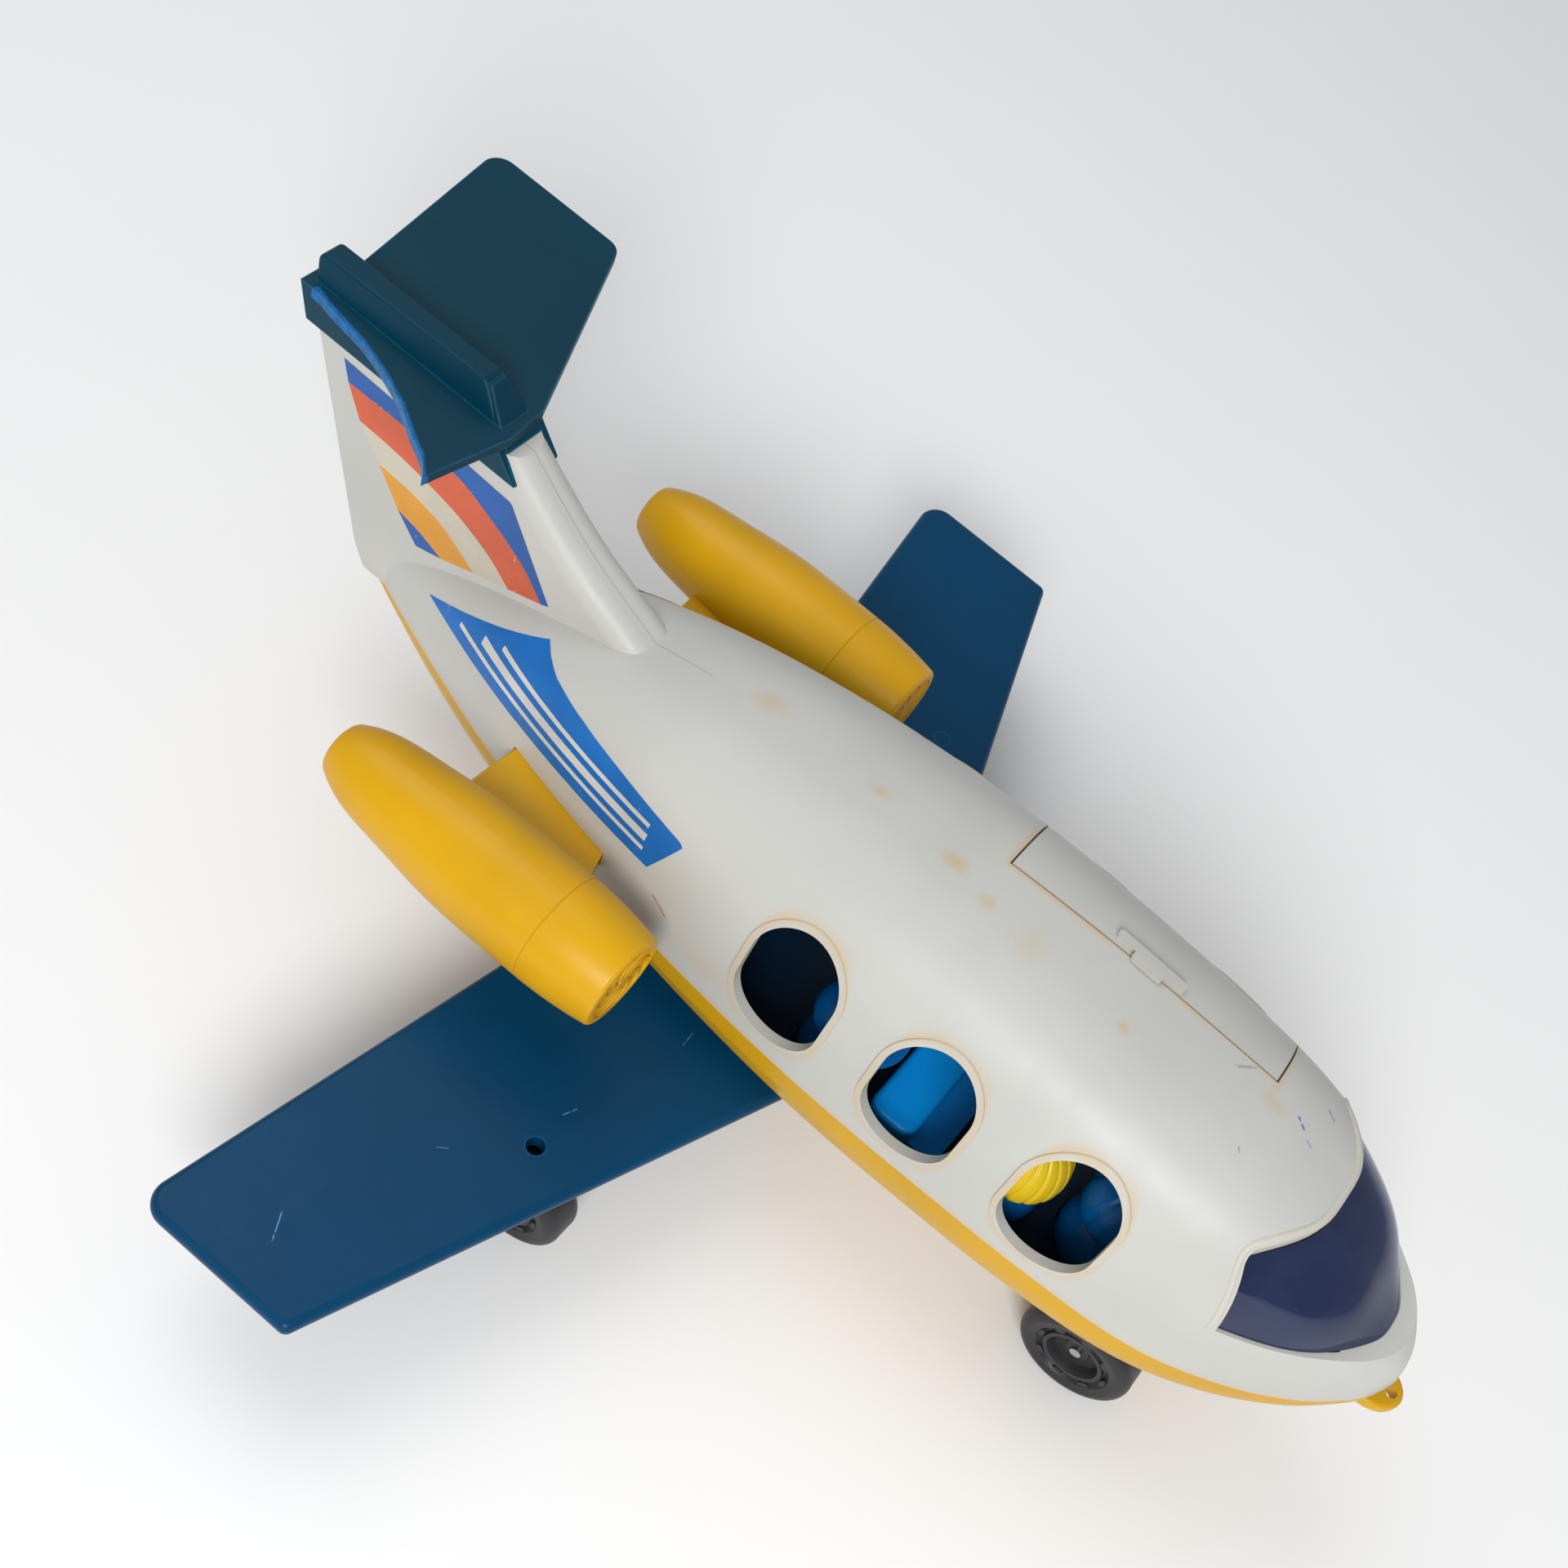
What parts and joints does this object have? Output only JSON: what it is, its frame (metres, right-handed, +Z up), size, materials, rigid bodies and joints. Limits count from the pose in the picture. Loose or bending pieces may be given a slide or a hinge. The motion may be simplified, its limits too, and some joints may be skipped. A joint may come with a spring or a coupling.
{
  "type": "toy airplane",
  "caption": "Moulded plastic toy jetliner with T-tail, side engine pods, blue wings, drop-down cabin door, tinted windshield, rolling wheels and lift-out peg passengers.",
  "frame": {"origin": "on the ground plane, under the centre of the bounding box", "axes": "+X forward to the nose, +Y to port, +Z up"},
  "size_m": [0.3488, 0.3046, 0.1386],
  "materials": {
    "shell_white": "semi-gloss ivory white plastic, slightly yellowed",
    "hull_yellow": "semi-gloss golden yellow plastic",
    "wing_blue": "semi-gloss deep blue plastic",
    "tail_blue": "semi-gloss teal blue plastic",
    "glazing": "clear navy-tinted plastic",
    "steel": "plain bright steel wire and screws",
    "wheel_black": "satin charcoal plastic",
    "deck_blue": "semi-gloss blue plastic",
    "peg_blue": "gloss blue plastic",
    "peg_skin": "satin skin-tone plastic",
    "hair_yellow": "gloss yellow plastic"
  },
  "bodies": {
    "airframe": {"upper_shell": "shell_white", "lower_hull": "hull_yellow", "engine_pod_left": "hull_yellow", "engine_pod_right": "hull_yellow", "engine_inlet_left": "hull_yellow", "engine_inlet_right": "hull_yellow", "wing": "wing_blue", "tail_cap": "tail_blue", "windshield": "glazing", "door_hinge_pin": "steel", "main_axle_left": "steel", "main_axle_right": "steel", "shell_screws": "steel", "seat_deck": "deck_blue"},
    "door": {"door": "shell_white"},
    "nose_wheelset": {"nose_axle": "steel", "nose_wheel_left": "wheel_black", "nose_wheel_right": "wheel_black"},
    "main_wheel_left": {"main_wheel_left": "wheel_black"},
    "main_wheel_right": {"main_wheel_right": "wheel_black"},
    "girl": {"girl_body": "peg_blue", "girl_head": "peg_skin", "girl_hair": "hair_yellow"},
    "boy": {"boy_body": "peg_blue", "boy_head": "peg_skin", "boy_hair": "peg_blue"},
    "pilot": {"pilot_body": "peg_blue", "pilot_head": "peg_skin", "pilot_hair": "peg_blue"}
  },
  "joints": [
    {"name": "door_hinge", "type": "hinge", "parent": "airframe", "child": "door", "pos_m": [0.066, 0.0368, 0.0606], "axis": [-1, 0, 0], "range_deg": [0, 80]},
    {"name": "nose_wheel_roll", "type": "hinge", "parent": "airframe", "child": "nose_wheelset", "pos_m": [0.1129, 0, 0.0155], "axis": [0, 1, 0], "continuous": true},
    {"name": "main_wheel_left_roll", "type": "hinge", "parent": "airframe", "child": "main_wheel_left", "pos_m": [-0.0146, 0.0845, 0.0155], "axis": [0, 1, 0], "continuous": true},
    {"name": "main_wheel_right_roll", "type": "hinge", "parent": "airframe", "child": "main_wheel_right", "pos_m": [-0.0146, -0.0845, 0.0155], "axis": [0, 1, 0], "continuous": true},
    {"name": "girl_lift", "type": "slide", "parent": "airframe", "child": "girl", "axis": [0, 0, 1], "range_m": [0, 0.01]},
    {"name": "boy_lift", "type": "slide", "parent": "airframe", "child": "boy", "axis": [0, 0, 1], "range_m": [0, 0.01]},
    {"name": "pilot_lift", "type": "slide", "parent": "airframe", "child": "pilot", "axis": [0, 0, 1], "range_m": [0, 0.01]}
  ]
}
